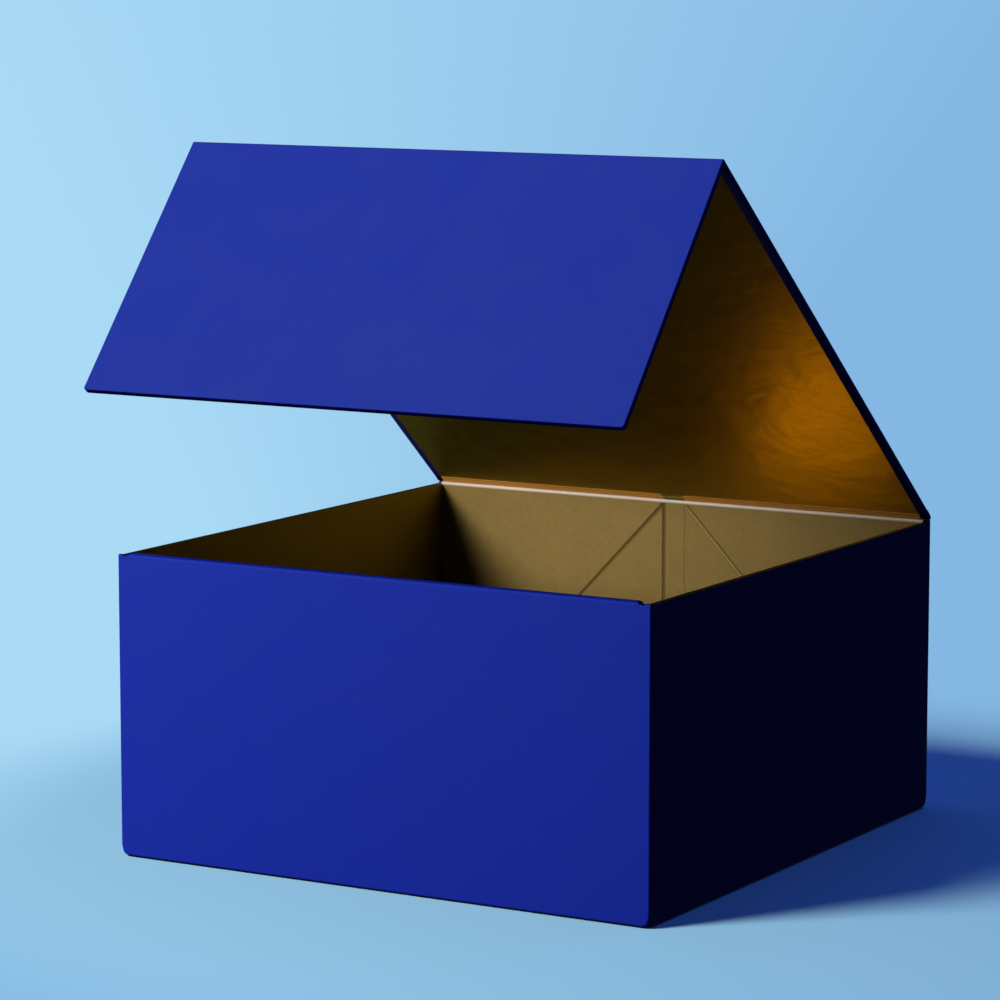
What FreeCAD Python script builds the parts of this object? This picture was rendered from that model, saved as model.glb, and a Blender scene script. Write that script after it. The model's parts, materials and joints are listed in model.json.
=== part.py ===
import os

import FreeCAD
import Part
import Sketcher

# Rigid paper-covered board box: open tray, lid hinged on the back wall, front flap hinged on the lid.
# Frame: origin at the centre of the underside, +X right, +Y to the back, +Z up. Millimetres and degrees.

drivingSizes = {
    "boxWidth": 250.0,            # outside, left to right
    "boxDepth": 257.0,            # outside, front to back
    "wallRise": 127.0,            # side walls' top above the surface the box rests on
    "boardThickness": 2.0,        # base, front and side boards
    "backBoardThickness": 1.2,
    "gussetThickness": 0.8,       # creased inner layer of the back wall
    "innerBoardThickness": 1.6,   # tucked-in inner layer of the front wall
    "lidBoardThickness": 2.2,     # lid and flap
    "paperThickness": 0.2,        # cover and lining papers
    "bottomStep": 0.8,            # walls' lower edges above the rest surface
    "bottomCornerRadius": 7.0,
    "lipRise": 1.2,               # front lip above the side walls
    "lipInset": 5.0,              # front lip's ends from the box's sides
    "lipTurnover": 3.4,           # cover paper turned down inside the lip
    "fitGap": 0.2,                # under the upright inner layers
    "foldRise": 1.8,              # rounded paper fold on the back wall
    "foldOverhang": 0.6,          # how far that fold stands in front of the gusset
    "foldRadius": 1.4,
    "foldDrop": 0.1,              # fold's crest below the back wall's top
    "stripWidth": 10.8,           # gusset's centre strip, crease to crease
    "creaseGap": 1.3,             # open width of a diagonal crease and of the left upright one
    "tightCreaseGap": 0.3,        # right upright crease
    "lidClearance": 0.3,          # lid closed, above the lip
    "flapClearance": 0.6,         # flap closed, in front of the front wall
    "hingeGap": 3.0,              # hinge axis to the lid board's rear edge
    "hingeSeatGap": 0.05,         # hinge cloth's underside above the back wall's top
    "hingeCornerRise": 1.1,       # hinge cloth's upright part above the back wall
    "hingeStripLap": 0.8,         # gold strip's hold on the lid
    "lidAngle": 39.7,             # lid's opening as it stands, 0 when closed
    "flapDrop": 126.0,            # ridge to the flap's free edge
    "turnIn": 3.4,                # cover paper showing round the lid's and flap's linings
    "mitreGap": 0.06,             # each side of the ridge's mitre
    "flapCornerRadius": 1.5,
    "magnetRadius": 6.0,
    "magnetThickness": 1.5,
    "plateThickness": 0.8,
    "magnetSpacing": 125.0,       # centre to centre
    "magnetInset": 18.0,          # centre above the flap's free edge
    "pocketClearance": 0.1,       # round and behind each magnet and plate
}

doc = FreeCAD.newDocument("ArchivalBox")
sizes = doc.addObject("Spreadsheet::Sheet", "Sizes")
for row, (alias, value) in enumerate(drivingSizes.items(), 1):
    sizes.set(f"A{row}", str(value))
    sizes.setAlias(f"A{row}", alias)
doc.recompute()

# Places worked out from the driving sizes, as expressions.
paper = "Sizes.paperThickness"
halfWidth = "Sizes.boxWidth / 2"
front = "-Sizes.boxDepth / 2"
back = "Sizes.boxDepth / 2"
wallTop = "Sizes.wallRise"
lipTop = "(Sizes.wallRise + Sizes.lipRise)"
boardBottom = f"(Sizes.bottomStep + {paper})"
sheetThickness = f"({paper} + Sizes.boardThickness)"                  # cover and board
wallThickness = f"({paper} * 2 + Sizes.boardThickness)"               # cover, board and lining
backSheetThickness = f"({paper} + Sizes.backBoardThickness)"
gussetFront = f"({back} - {backSheetThickness} - {paper} - Sizes.gussetThickness)"
facingFront = f"({gussetFront} - {paper})"
innerHalfWidth = f"({halfWidth} - {wallThickness})"
floorTop = wallThickness                                              # the base has the same layers
uprightFoot = f"({floorTop} + Sizes.fitGap)"
gussetTop = f"({lipTop} - Sizes.foldDrop - Sizes.foldRise)"
lipHalfWidth = f"({halfWidth} - Sizes.lipInset)"
lipBack = f"({front} + {sheetThickness} + Sizes.innerBoardThickness + {paper})"
hingeDepth = facingFront
hingeHeight = f"({lipTop} + Sizes.lidClearance)"
lidThickness = f"(Sizes.lidBoardThickness + {paper} * 2)"
lidLength = f"({hingeDepth} - ({front}) + Sizes.flapClearance + {lidThickness})"
lidRun = "cos(Sizes.lidAngle * 1 deg)"                                # forward and upward shares of a
lidClimb = "sin(Sizes.lidAngle * 1 deg)"                              # length along the open lid
ridgeDepth = f"({hingeDepth} - {lidLength} * {lidRun} + {lidThickness} * {lidClimb})"
ridgeHeight = f"({hingeHeight} + {lidLength} * {lidClimb} + {lidThickness} * {lidRun})"
magnetDrop = "(Sizes.flapDrop - Sizes.magnetInset)"
plateHeight = f"({hingeHeight} + {lidThickness} - {magnetDrop})"

nodes = []


def number(expression):
    return float(sizes.evalExpression(expression))


def addSketch(body, plane, start):
    # A sketch on one of the body's origin planes, moved along +X, +Y or +Z to start.
    sketch = body.newObject("Sketcher::SketchObject", body.Name + "Sketch")
    origin = [feature for feature in body.Origin.OriginFeatures if feature.Role == plane + "_Plane"][0]
    sketch.AttachmentSupport = [(origin, "")]
    sketch.MapMode = "FlatFace"
    alongNormal = f"-({start})" if plane == "XZ" else f"{start}"
    sketch.setExpression("AttachmentOffset.Base.z", alongNormal)
    return sketch


def holdPoint(sketch, geometry, corner, across, up):
    # Ties one point of the sketch to the two expressions.
    for kind, axis, expression in (("DistanceX", -2, across), ("DistanceY", -1, up)):
        if expression == "0":
            sketch.addConstraint(Sketcher.Constraint("PointOnObject", geometry, corner, axis))
            continue
        place = Sketcher.Constraint(kind, -1, 1, geometry, corner, number(expression))
        index = sketch.addConstraint(place)
        sketch.setExpression(f"Constraints[{index}]", expression)


def drawOutline(sketch, outline):
    # A closed outline of straight sides through the given pairs of expressions.
    points = [FreeCAD.Vector(number(across), number(up), 0) for across, up in outline]
    count = len(points)
    for index in range(count):
        sketch.addGeometry(Part.LineSegment(points[index], points[(index + 1) % count]))
    for index in range(count):
        following = (index + 1) % count
        sketch.addConstraint(Sketcher.Constraint("Coincident", index, 2, following, 1))
    for index, (across, up) in enumerate(outline):
        holdPoint(sketch, index, 1, across, up)


def drawDisc(sketch, across, up, radius):
    centre = FreeCAD.Vector(number(across), number(up), 0)
    disc = sketch.addGeometry(Part.Circle(centre, FreeCAD.Vector(0, 0, 1), number(radius)))
    holdPoint(sketch, disc, 3, across, up)
    index = sketch.addConstraint(Sketcher.Constraint("Radius", disc, number(radius)))
    sketch.setExpression(f"Constraints[{index}]", radius)


def addBody(label):
    body = doc.addObject("PartDesign::Body", "".join(word.title() for word in label.split("_")))
    body.Label = label
    return body


def padSketch(body, sketch, plane, depth):
    pad = body.newObject("PartDesign::Pad", body.Name + "Pad")
    pad.Profile = sketch
    pad.setExpression("Length", depth)
    pad.Reversed = plane == "XZ"
    sketch.Visibility = False
    doc.recompute()
    return pad


def addPlate(label, plane, outline, start, depth, hinge=None):
    # A flat piece: outline on the plane, from start through depth along +X, +Y or +Z.
    body = addBody(label)
    sketch = addSketch(body, plane, start)
    drawOutline(sketch, outline)
    padSketch(body, sketch, plane, depth)
    if hinge:
        hinge(body)
    return body


def addDisc(label, across, up, radius, start, depth, hinge=None):
    body = addBody(label)
    sketch = addSketch(body, "XZ", start)
    drawDisc(sketch, across, up, radius)
    padSketch(body, sketch, "XZ", depth)
    if hinge:
        hinge(body)
    return body


def cutDiscs(body, places, radius, start, depth):
    # Round pockets, cut from start through depth along +Y.
    before = body.Shape.Volume
    sketch = addSketch(body, "XZ", start)
    for across, up in places:
        drawDisc(sketch, across, up, radius)
    pocket = body.newObject("PartDesign::Pocket", body.Name + "Pocket")
    pocket.Profile = sketch
    pocket.setExpression("Length", depth)
    doc.recompute()
    if body.Shape.Volume >= before:
        raise ValueError(f"{body.Label}: the pockets cut nothing")


def roundEdges(body, direction, radius, chosen):
    # Rounds the straight edges along direction whose middle passes the test.
    base = body.Tip
    names = []
    for index, edge in enumerate(base.Shape.Edges, 1):
        along = edge.tangentAt(edge.FirstParameter)
        if abs(along.dot(direction)) > 0.999 and chosen(edge.CenterOfMass):
            names.append(f"Edge{index}")
    fillet = body.newObject("PartDesign::Fillet", body.Name + "Fillet")
    fillet.Base = (base, names)
    fillet.setExpression("Radius", radius)
    doc.recompute()


def subtract(label, base, tools):
    # base with each tool taken away, which leaves the room that the tools fill.
    remaining = base
    for index, tool in enumerate(tools, 1):
        last = index == len(tools)
        cut = doc.addObject("Part::Cut", f"{base.Name}Less{tool.Name}")
        cut.Base = remaining
        cut.Tool = tool
        cut.Label = label if last else f"{label}_step_{index}"
        remaining = cut
    doc.recompute()
    return remaining


def keep(piece):
    nodes.append(piece)
    return piece


def rectangle(left, right, low, high):
    return [(left, low), (right, low), (right, high), (left, high)]


def swingLid(body):
    # Carries a piece drawn about the closed lid's hinge axis to the open lid.
    body.Placement = FreeCAD.Placement(FreeCAD.Vector(), FreeCAD.Rotation(FreeCAD.Vector(-1, 0, 0), 1))
    body.setExpression("Placement.Base.y", hingeDepth)
    body.setExpression("Placement.Base.z", hingeHeight)
    body.setExpression("Placement.Rotation.Angle", "Sizes.lidAngle")
    doc.recompute()


def swingFlap(body):
    # Carries a piece drawn about the ridge to where the open lid holds it.
    body.Placement = FreeCAD.Placement(FreeCAD.Vector(), FreeCAD.Rotation(FreeCAD.Vector(-1, 0, 0), 1))
    body.setExpression("Placement.Base.y", ridgeDepth)
    body.setExpression("Placement.Base.z", ridgeHeight)
    body.setExpression("Placement.Rotation.Angle", "Sizes.lidAngle")
    doc.recompute()


alongX = FreeCAD.Vector(1, 0, 0)
alongY = FreeCAD.Vector(0, 1, 0)
alongZ = FreeCAD.Vector(0, 0, 1)


def roundBottomCorners(body, direction):
    low = body.Shape.BoundBox.ZMin + number("Sizes.bottomCornerRadius")
    roundEdges(body, direction, "Sizes.bottomCornerRadius", lambda place: place.z < low)


def buildBase():
    outline = rectangle(
        f"-({halfWidth} - {sheetThickness})", f"({halfWidth} - {sheetThickness})",
        f"({front} + {sheetThickness})", f"({back} - {backSheetThickness})")
    layers = (
        ("base_cover", "0", paper),
        ("base_board", paper, "Sizes.boardThickness"),
        ("base_lining", sheetThickness, paper))
    for label, start, depth in layers:
        body = keep(addPlate(label, "XY", outline, start, depth))
        roundEdges(body, alongZ, "Sizes.bottomCornerRadius", lambda place: True)


def shoulderedOutline(margin):
    # Front wall's outline, held in by margin: square shoulders with the lip standing between them.
    side = f"({halfWidth} - {margin})"
    lipSide = f"({lipHalfWidth} - {margin})"
    foot = f"(Sizes.bottomStep + {margin})"
    shoulder = f"({wallTop} - {margin})"
    crest = f"({lipTop} - {margin})"
    return [
        (f"-{side}", foot), (side, foot), (side, shoulder), (lipSide, shoulder),
        (lipSide, crest), (f"-{lipSide}", crest), (f"-{lipSide}", shoulder), (f"-{side}", shoulder)]


def platePlaces():
    return [(f"{sign}(Sizes.magnetSpacing / 2)", plateHeight) for sign in ("-", "")]


def buildFront():
    boardFront = f"({front} + {paper})"
    boardOutline = shoulderedOutline(paper)
    board = keep(addPlate("front_board", "XZ", boardOutline, boardFront, "Sizes.boardThickness"))
    roundBottomCorners(board, alongY)
    cutDiscs(board, platePlaces(), "(Sizes.magnetRadius + Sizes.pocketClearance)", boardFront,
             "(Sizes.plateThickness + Sizes.pocketClearance)")
    start = f"({boardFront} + Sizes.pocketClearance)"
    for side, (across, up) in zip(("left", "right"), platePlaces()):
        keep(addDisc(f"front_plate_{side}", across, up, "Sizes.magnetRadius", start,
                     "Sizes.plateThickness"))

    innerSide = f"({lipHalfWidth} - {paper})"
    innerStart = f"({front} + {sheetThickness})"
    innerOutline = rectangle(f"-{innerSide}", innerSide, uprightFoot, f"({lipTop} - {paper})")
    inner = keep(addPlate("front_inner_board", "XZ", innerOutline, innerStart, "Sizes.innerBoardThickness"))
    liningOutline = rectangle(f"-{innerSide}", innerSide, uprightFoot, f"({lipTop} - Sizes.lipTurnover)")
    lining = keep(addPlate("front_lining", "XZ", liningOutline, f"({lipBack} - {paper})", paper))

    sheet = addPlate("front_sheet", "XZ", shoulderedOutline("0"), front, sheetThickness)
    roundBottomCorners(sheet, alongY)
    capOutline = rectangle(f"-{lipHalfWidth}", lipHalfWidth, f"({lipTop} - Sizes.lipTurnover)", lipTop)
    cap = addPlate("front_lip_cap", "XZ", capOutline, front, f"({lipBack} - ({front}))")
    joined = doc.addObject("Part::Fuse", "FrontSheetWithLip")
    joined.Base = sheet
    joined.Tool = cap
    blank = addPlate("front_sheet_room", "XZ", boardOutline, boardFront, "Sizes.boardThickness")
    roundBottomCorners(blank, alongY)
    keep(subtract("front_cover", joined, [blank, inner, lining]))


def buildSideWall(side, sign):
    ends = (f"({front} + {sheetThickness})", f"({back} - {backSheetThickness})")
    if sign == "-":
        outerStart = f"-{halfWidth}"
        boardStart = f"(-{halfWidth} + {paper})"
        liningStart = f"(-{halfWidth} + {sheetThickness})"
    else:
        outerStart = f"({halfWidth} - {sheetThickness})"
        boardStart = outerStart
        liningStart = f"({halfWidth} - {wallThickness})"

    boardOutline = rectangle(*ends, boardBottom, f"({wallTop} - {paper})")
    board = keep(addPlate(f"{side}_wall_board", "YZ", boardOutline, boardStart, "Sizes.boardThickness"))
    roundBottomCorners(board, alongX)
    liningOutline = rectangle(*ends, floorTop, wallTop)
    lining = keep(addPlate(f"{side}_wall_lining", "YZ", liningOutline, liningStart, paper))
    roundBottomCorners(lining, alongX)

    coverOutline = rectangle(*ends, "Sizes.bottomStep", wallTop)
    outer = addPlate(f"{side}_wall_outer", "YZ", coverOutline, outerStart, sheetThickness)
    roundBottomCorners(outer, alongX)
    keep(subtract(f"{side}_wall_cover", outer, [board]))


def buildBack():
    boardFront = f"({back} - {backSheetThickness})"
    boardSide = f"({halfWidth} - {paper})"
    boardOutline = rectangle(f"-{boardSide}", boardSide, boardBottom, f"({lipTop} - {paper})")
    board = keep(addPlate("back_board", "XZ", boardOutline, boardFront, "Sizes.backBoardThickness"))
    roundBottomCorners(board, alongY)
    outerOutline = rectangle(f"-{halfWidth}", halfWidth, "Sizes.bottomStep", lipTop)
    outer = addPlate("back_outer", "XZ", outerOutline, boardFront, backSheetThickness)
    roundBottomCorners(outer, alongY)
    keep(subtract("back_cover", outer, [board]))

    liningOutline = rectangle(f"-{innerHalfWidth}", innerHalfWidth, uprightFoot, gussetTop)
    keep(addPlate("back_lining", "XZ", liningOutline, f"({boardFront} - {paper})", paper))

    foldFront = f"({facingFront} - Sizes.foldOverhang)"
    foldOutline = rectangle(foldFront, boardFront, gussetTop, f"({gussetTop} + Sizes.foldRise)")
    foldLength = f"(2 * {innerHalfWidth})"
    fold = keep(addPlate("back_top_fold", "YZ", foldOutline, f"-{innerHalfWidth}", foldLength))
    shape = fold.Shape.BoundBox
    roundEdges(fold, alongX, "Sizes.foldRadius",
               lambda place: place.z > shape.Center.z and place.y < shape.Center.y)


def gussetOutlines():
    # Five panels: a centre strip and, each side of it, two triangles parted by a diagonal crease that
    # runs from the strip's top to the bottom corner. Each crease is an open gap.
    strip = "(Sizes.stripWidth / 2)"
    run = f"({innerHalfWidth} - {strip})"
    climb = f"({gussetTop} - {uprightFoot})"
    shift = f"(Sizes.creaseGap / 2 * sqrt({run} * {run} + {climb} * {climb}) / {climb})"
    outlines = {}
    edges = {}
    for side, sign, crease in (("left", "-", "Sizes.creaseGap"), ("right", "", "Sizes.tightCreaseGap")):
        outer = f"{sign}{innerHalfWidth}"
        upperTip = f"{sign}({strip} + {shift})"
        lowerTip = f"{sign}({innerHalfWidth} - {shift})"
        inner = f"{sign}({strip} + {crease} / 2)"
        edges[side] = f"{sign}({strip} - {crease} / 2)"
        upperLow = f"({gussetTop} - ({run} - {shift}) * {climb} / {run})"
        lowerHigh = f"({uprightFoot} + ({run} - {shift} - {crease} / 2) * {climb} / {run})"
        outlines[f"gusset_upper_{side}"] = [
            (outer, upperLow), (outer, gussetTop), (upperTip, gussetTop)]
        outlines[f"gusset_lower_{side}"] = [
            (lowerTip, uprightFoot), (inner, uprightFoot), (inner, lowerHigh)]
    outlines["gusset_centre"] = rectangle(edges["left"], edges["right"], uprightFoot, gussetTop)
    return outlines


def buildGusset():
    for label, outline in gussetOutlines().items():
        keep(addPlate(label, "XZ", outline, gussetFront, "Sizes.gussetThickness"))
        keep(addPlate(f"{label}_facing", "XZ", outline, facingFront, paper))


def buildLid():
    # Drawn closed, about the hinge axis: the lid runs to -Y, its inner face on the axis.
    rear = "-Sizes.hingeGap"
    boardHigh = f"({lidThickness} - {paper})"
    mitre = "Sizes.mitreGap"
    boardOutline = [
        (rear, paper), (rear, boardHigh),
        (f"-({lidLength} - {paper} - {mitre})", boardHigh),
        (f"-({lidLength} - {boardHigh} - {mitre})", paper)]
    boardSide = f"({halfWidth} - {paper})"
    boardLength = f"(2 * {boardSide})"
    board = keep(addPlate("lid_board", "YZ", boardOutline, f"-{boardSide}", boardLength, swingLid))

    liningSide = f"({halfWidth} - Sizes.turnIn)"
    liningOutline = [
        (rear, "0"), (rear, paper),
        (f"-({lidLength} - {boardHigh} - {mitre})", paper),
        (f"-({lidLength} - {lidThickness} - {mitre})", "0")]
    liningLength = f"(2 * {liningSide})"
    lining = keep(addPlate("lid_lining", "YZ", liningOutline, f"-{liningSide}", liningLength, swingLid))

    outerOutline = [
        (rear, "0"), (rear, lidThickness),
        (f"-({lidLength} - {mitre})", lidThickness),
        (f"-({lidLength} - {lidThickness} - {mitre})", "0")]
    outer = addPlate("lid_outer", "YZ", outerOutline, f"-{halfWidth}", f"(2 * {halfWidth})", swingLid)
    keep(subtract("lid_cover", outer, [board, lining]))


def buildLidHinge():
    # Cloth that fills the hinge gap between the back wall's top and the lid, and the two gold strips
    # in front of it, parted over the gusset's centre strip.
    angle = "(Sizes.lidAngle * 1 deg)"
    gap = "Sizes.hingeGap"
    lift = f"({lipTop} + Sizes.hingeSeatGap)"
    outerRear = (
        f"({hingeDepth} - {gap} * cos{angle} + {lidThickness} * sin{angle})",
        f"({hingeHeight} + {gap} * sin{angle} + {lidThickness} * cos{angle})")
    innerRear = (
        f"({hingeDepth} - {gap} * cos{angle} + {paper} * sin{angle})",
        f"({hingeHeight} + {gap} * sin{angle} + {paper} * cos{angle})")
    clothOutline = [
        (back, lift), (back, f"({lift} + Sizes.hingeCornerRise)"),
        outerRear, innerRear, (f"({hingeDepth} + {paper})", lift)]
    keep(addPlate("lid_hinge_cloth", "YZ", clothOutline, f"-{halfWidth}", f"(2 * {halfWidth})"))

    lap = f"({gap} + Sizes.hingeStripLap)"
    lapBack = (
        f"({hingeDepth} - {gap} * cos{angle})",
        f"({hingeHeight} + {gap} * sin{angle})")
    lapFront = (
        f"({hingeDepth} - {lap} * cos{angle})",
        f"({hingeHeight} + {lap} * sin{angle})")
    lapFrontLow = (
        f"({hingeDepth} - {lap} * cos{angle} - {paper} * sin{angle})",
        f"({hingeHeight} + {lap} * sin{angle} - {paper} * cos{angle})")
    stripOutline = [
        (f"({hingeDepth} + {paper} / 2)", lift), lapBack, lapFront, lapFrontLow,
        (f"({hingeDepth} - {paper} / 2)", lift)]
    length = f"({halfWidth} - Sizes.turnIn - Sizes.stripWidth / 2)"
    keep(addPlate("lid_hinge_strip_left", "YZ", stripOutline, f"-({halfWidth} - Sizes.turnIn)", length))
    keep(addPlate("lid_hinge_strip_right", "YZ", stripOutline, "(Sizes.stripWidth / 2)", length))


def buildFlap():
    # Drawn as it hangs when the box is shut, about the ridge: the flap runs to -Z, its outer face on
    # the axis.
    mitre = "Sizes.mitreGap"
    foot = "-Sizes.flapDrop"
    boardBack = f"({lidThickness} - {paper})"
    boardSide = f"({halfWidth} - {paper})"
    low = number(f"-Sizes.flapDrop + {magnetDrop} / 2")

    boardOutline = [
        (paper, f"-({paper} + {mitre})"), (boardBack, f"-({boardBack} + {mitre})"),
        (boardBack, f"({foot} + {paper})"), (paper, f"({foot} + {paper})")]
    boardLength = f"(2 * {boardSide})"
    board = keep(addPlate("flap_board", "YZ", boardOutline, f"-{boardSide}", boardLength, swingFlap))
    roundEdges(board, alongY, "Sizes.flapCornerRadius", lambda place: place.z < low)

    liningSide = f"({halfWidth} - Sizes.turnIn)"
    liningOutline = [
        (boardBack, f"-({boardBack} + {mitre})"), (lidThickness, f"-({lidThickness} + {mitre})"),
        (lidThickness, f"({foot} + Sizes.turnIn)"), (boardBack, f"({foot} + Sizes.turnIn)")]
    liningLength = f"(2 * {liningSide})"
    lining = keep(addPlate("flap_lining", "YZ", liningOutline, f"-{liningSide}", liningLength, swingFlap))

    outerOutline = [
        ("0", f"-{mitre}"), (lidThickness, f"-({lidThickness} + {mitre})"),
        (lidThickness, foot), ("0", foot)]
    outer = addPlate("flap_outer", "YZ", outerOutline, f"-{halfWidth}", f"(2 * {halfWidth})", swingFlap)
    roundEdges(outer, alongY, "Sizes.flapCornerRadius", lambda place: place.z < low)
    room = addPlate("flap_board_room", "YZ", boardOutline, f"-{boardSide}", boardLength, swingFlap)
    roundEdges(room, alongY, "Sizes.flapCornerRadius", lambda place: place.z < low)
    keep(subtract("flap_cover", outer, [room, lining]))

    places = [(f"{sign}(Sizes.magnetSpacing / 2)", f"-{magnetDrop}") for sign in ("-", "")]
    depth = "(Sizes.magnetThickness + Sizes.pocketClearance)"
    start = f"({boardBack} - {depth})"
    cutDiscs(board, places, "(Sizes.magnetRadius + Sizes.pocketClearance)", start, depth)
    for side, (across, up) in zip(("left", "right"), places):
        keep(addDisc(f"flap_magnet_{side}", across, up, "Sizes.magnetRadius", start,
                     "Sizes.magnetThickness", swingFlap))


def writeParts():
    doc.recompute()
    for piece in doc.Objects:
        if "Invalid" in piece.State or "Error" in piece.State:
            raise ValueError(f"{piece.Label}: {piece.State}")
    for piece in nodes:
        if piece.Shape.isNull() or not piece.Shape.isValid():
            raise ValueError(f"{piece.Label}: no valid shape")
    os.makedirs("parts", exist_ok=True)
    for piece in nodes:
        piece.Shape.exportStep(f"parts/{piece.Label}.step")
        print(f"{piece.Label}: {len(piece.Shape.Solids)} solid, {piece.Shape.Volume:.1f} mm3")


buildBase()
buildFront()
buildSideWall("left", "-")
buildSideWall("right", "")
buildBack()
buildGusset()
buildLid()
buildLidHinge()
buildFlap()
writeParts()
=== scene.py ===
import json
import math

import bmesh
import bpy
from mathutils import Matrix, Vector


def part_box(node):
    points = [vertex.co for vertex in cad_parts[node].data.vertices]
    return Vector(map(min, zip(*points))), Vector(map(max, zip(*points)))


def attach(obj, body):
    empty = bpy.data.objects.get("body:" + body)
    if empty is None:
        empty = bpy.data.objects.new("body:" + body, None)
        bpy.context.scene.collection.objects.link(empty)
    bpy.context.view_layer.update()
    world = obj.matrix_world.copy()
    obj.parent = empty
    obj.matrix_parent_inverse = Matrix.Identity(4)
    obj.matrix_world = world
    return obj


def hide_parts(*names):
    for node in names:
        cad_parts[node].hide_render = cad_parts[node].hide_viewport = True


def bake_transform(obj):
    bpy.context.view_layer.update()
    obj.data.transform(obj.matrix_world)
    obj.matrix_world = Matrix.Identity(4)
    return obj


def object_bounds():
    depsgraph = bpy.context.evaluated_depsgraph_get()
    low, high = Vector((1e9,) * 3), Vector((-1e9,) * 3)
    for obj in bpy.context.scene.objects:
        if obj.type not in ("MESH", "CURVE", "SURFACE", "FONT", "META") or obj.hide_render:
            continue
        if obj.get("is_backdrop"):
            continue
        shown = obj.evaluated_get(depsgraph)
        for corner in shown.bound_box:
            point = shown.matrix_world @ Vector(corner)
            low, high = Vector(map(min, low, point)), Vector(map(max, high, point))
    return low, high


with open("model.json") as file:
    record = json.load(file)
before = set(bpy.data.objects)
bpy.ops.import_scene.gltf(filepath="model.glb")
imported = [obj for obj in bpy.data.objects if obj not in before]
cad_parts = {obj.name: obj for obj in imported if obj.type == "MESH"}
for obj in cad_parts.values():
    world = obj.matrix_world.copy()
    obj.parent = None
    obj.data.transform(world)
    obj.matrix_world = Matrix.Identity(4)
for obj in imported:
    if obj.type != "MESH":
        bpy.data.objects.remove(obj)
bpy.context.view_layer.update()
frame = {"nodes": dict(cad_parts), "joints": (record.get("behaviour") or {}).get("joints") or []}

# Archival box: paper-wrapped tray, creased gold back wall, lid with a hanging front flap.
# Metres, origin under the middle of the box, +Y to the back.
mm = 0.001
hair = 0.01 * mm  # how near counts as the same place
squarely = 0.9  # how directly a face must look along an axis
acrossBox, alongBox, upBox = Vector((1, 0, 0)), Vector((0, 1, 0)), Vector((0, 0, 1))
nodes = frame["nodes"]
joints = {joint["name"]: joint for joint in frame["joints"]}
print("frame loaded:", len(nodes), "nodes")


def startFresh():
    # Object mode, with nothing selected.
    if bpy.context.object and bpy.context.object.mode != "OBJECT":
        bpy.ops.object.mode_set(mode="OBJECT")
    bpy.ops.object.select_all(action="DESELECT")


def chooseParts(kind, test):
    # In edit mode, selects the vertices, edges or faces that pass the test.
    bpy.ops.mesh.select_mode(type=kind)
    bpy.ops.mesh.select_all(action="DESELECT")
    piece = bpy.context.object
    mesh = bmesh.from_edit_mesh(piece.data)
    parts = {"VERT": mesh.verts, "EDGE": mesh.edges, "FACE": mesh.faces}[kind]
    for part in parts:
        if kind == "VERT":
            middle = part.co
        elif kind == "EDGE":
            middle = (part.verts[0].co + part.verts[1].co) / 2
        else:
            middle = part.calc_center_median()
        if test(part, middle):
            part.select_set(True)
    mesh.select_flush_mode()
    bmesh.update_edit_mesh(piece.data)


def runsAlong(edge, direction):
    span = edge.verts[1].co - edge.verts[0].co
    return span.length > 0 and abs(span.normalized().dot(direction)) > 0.999


def isFold(edge, degrees):
    # Whether an edge's two faces turn by more than so many degrees.
    if len(edge.link_faces) != 2:
        return False
    one, other = (face.normal for face in edge.link_faces)
    return one.angle(other) > math.radians(degrees)


def startBlock(name, low, high):
    # A block between two corners, left in edit mode.
    startFresh()
    centre = [(a + b) / 2 for a, b in zip(low, high)]
    size = [b - a for a, b in zip(low, high)]
    bpy.ops.mesh.primitive_cube_add(size=1, location=centre, scale=size)
    piece = bpy.context.object
    piece.name = name
    piece.data.name = name
    bpy.ops.object.transform_apply(location=True, rotation=True, scale=True)
    bpy.ops.object.mode_set(mode="EDIT")
    return piece


def cutAt(place, normal):
    # Cuts what is selected along a plane.
    bpy.ops.mesh.bisect(plane_co=place, plane_no=normal)


def cutAll(place, normal):
    bpy.ops.mesh.select_all(action="SELECT")
    cutAt(place, normal)


def pull(offset):
    bpy.ops.mesh.extrude_region_move(TRANSFORM_OT_translate={"value": offset})


def shift(offset):
    bpy.ops.transform.translate(value=offset)


def moveLine(test, y, z):
    # Moves a line of vertices that runs across the box to a new depth and height.
    chooseParts("VERT", test)
    mesh = bmesh.from_edit_mesh(bpy.context.object.data)
    first = [vertex.co.copy() for vertex in mesh.verts if vertex.select][0]
    shift((0, y - first.y, z - first.z))


def roundRim(radius, steps, even=True):
    # Rounds over the border of the selected flat top, in small inset steps.
    quarter = math.pi / 2
    for step in range(steps):
        before, after = quarter * step / steps, quarter * (step + 1) / steps
        bpy.ops.mesh.inset(
            thickness=radius * (math.cos(before) - math.cos(after)),
            depth=radius * (math.sin(after) - math.sin(before)),
            use_boundary=True, use_even_offset=even)


def finishBlock(piece, paper=None, smoothAngle=35.0, even=True):
    # Back to object mode, with an optional inward paper thickness.
    bpy.ops.mesh.select_all(action="SELECT")
    bpy.ops.mesh.remove_doubles(threshold=0.004 * mm)
    bpy.ops.object.mode_set(mode="OBJECT")
    if paper:
        solid = piece.modifiers.new("paper", "SOLIDIFY")
        solid.thickness = paper
        solid.offset = -1.0
        solid.use_even_offset = even
        bpy.ops.object.modifier_apply(modifier=solid.name)
    bpy.ops.object.shade_smooth_by_angle(angle=math.radians(smoothAngle))
    flats = piece.modifiers.new("flats", "WEIGHTED_NORMAL")  # keeps broad faces flat beside small rounds
    flats.keep_sharp = True
    bpy.ops.object.modifier_apply(modifier=flats.name)
    return piece


def placeBy(piece, location, turn):
    # Sets a piece drawn about a hinge into its open place, and applies it.
    piece.location = location
    piece.rotation_euler = (-turn, 0, 0)
    startFresh()
    piece.select_set(True)
    bpy.context.view_layer.objects.active = piece
    bpy.ops.object.transform_apply(location=True, rotation=True, scale=True)


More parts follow.
